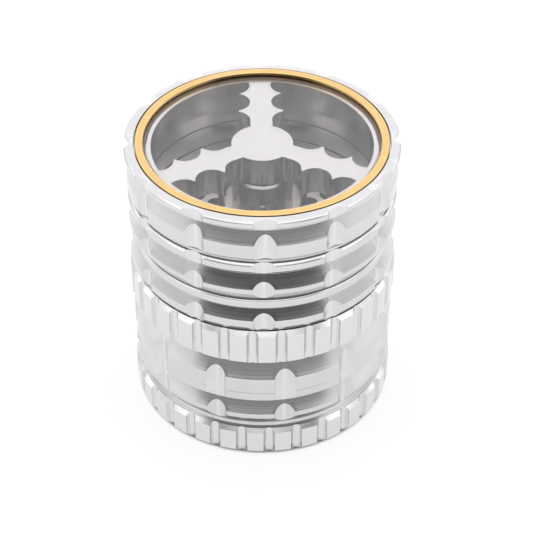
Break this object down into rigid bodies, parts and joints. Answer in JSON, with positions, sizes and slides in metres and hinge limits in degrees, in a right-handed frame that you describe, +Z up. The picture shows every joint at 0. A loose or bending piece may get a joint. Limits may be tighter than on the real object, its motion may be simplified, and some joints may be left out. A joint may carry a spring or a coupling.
{
  "type": "herb grinder",
  "caption": "Round stacked metal herb grinder with a clear window lid, scalloped bands, knurled grip rings, toothed chamber, collector, mesh screen ring and catcher cup.",
  "frame": {"origin": "centre of the bottom face, where the grinder stands", "axes": "+Z up along the axis that every section turns about; -Y is the front in the picture"},
  "size_m": [0.063, 0.063, 0.0698],
  "materials": {
    "turned_aluminium": "bright turned aluminium",
    "satin_aluminium": "satin milled aluminium",
    "white_nylon": "matt",
    "steel_mesh": "woven wire",
    "spring_steel": "satin",
    "magnet_plating": "nickel plated",
    "clear_window": "clear polished",
    "gold_anodised": "gold anodised",
    "dark_rubber": "matt"
  },
  "bodies": {
    "cup_section": {"catcher_cup": "turned_aluminium", "base_grip_ring": "satin_aluminium"},
    "screen_washer_carrier": {"screen_washer": "white_nylon"},
    "screen_section": {"screen_ring": "turned_aluminium", "mesh_screen": "steel_mesh", "screen_clip": "spring_steel"},
    "collector_washer_carrier": {"collector_washer": "white_nylon"},
    "collector_section": {"collector_body": "turned_aluminium", "collector_grip_ring": "satin_aluminium"},
    "chamber_washer_carrier": {"chamber_washer": "white_nylon"},
    "chamber_section": {"chamber_shell": "turned_aluminium", "grinding_plate": "turned_aluminium", "chamber_magnet": "magnet_plating"},
    "lid_slip_carrier": {"lid_slip_ring": "white_nylon"},
    "lid_section": {"lid_ring": "turned_aluminium", "blade_wheel": "satin_aluminium", "lid_magnet": "magnet_plating", "window_gasket": "dark_rubber", "window_pane": "clear_window", "window_bezel": "gold_anodised"}
  },
  "joints": [
    {"name": "screen_rise", "type": "slide", "parent": "cup_section", "child": "screen_washer_carrier", "axis": [0, 0, 1], "range_m": [0, 0.003]},
    {"name": "screen_unscrew", "type": "hinge", "parent": "screen_washer_carrier", "child": "screen_section", "pos_m": [0, 0, 0.0195], "axis": [0, 0, 1], "range_deg": [0, 540.01]},
    {"name": "collector_rise", "type": "slide", "parent": "screen_section", "child": "collector_washer_carrier", "axis": [0, 0, 1], "range_m": [0, 0.003]},
    {"name": "collector_unscrew", "type": "hinge", "parent": "collector_washer_carrier", "child": "collector_section", "pos_m": [0, 0, 0.0283], "axis": [0, 0, 1], "range_deg": [0, 540.01]},
    {"name": "chamber_rise", "type": "slide", "parent": "collector_section", "child": "chamber_washer_carrier", "axis": [0, 0, 1], "range_m": [0, 0.003]},
    {"name": "chamber_unscrew", "type": "hinge", "parent": "chamber_washer_carrier", "child": "chamber_section", "pos_m": [0, 0, 0.0467], "axis": [0, 0, 1], "range_deg": [0, 540.01]},
    {"name": "lid_lift", "type": "slide", "parent": "chamber_section", "child": "lid_slip_carrier", "axis": [0, 0, 1], "range_m": [0, 0.04]},
    {"name": "lid_spin", "type": "hinge", "parent": "lid_slip_carrier", "child": "lid_section", "pos_m": [0, 0, 0.0585], "axis": [0, 0, 1], "continuous": true}
  ],
  "couplings": [
    {"joint": "screen_unscrew", "follows": "screen_rise", "rad_per_m": 3141.6},
    {"joint": "collector_unscrew", "follows": "collector_rise", "rad_per_m": 3141.6},
    {"joint": "chamber_unscrew", "follows": "chamber_rise", "rad_per_m": 3141.6}
  ]
}
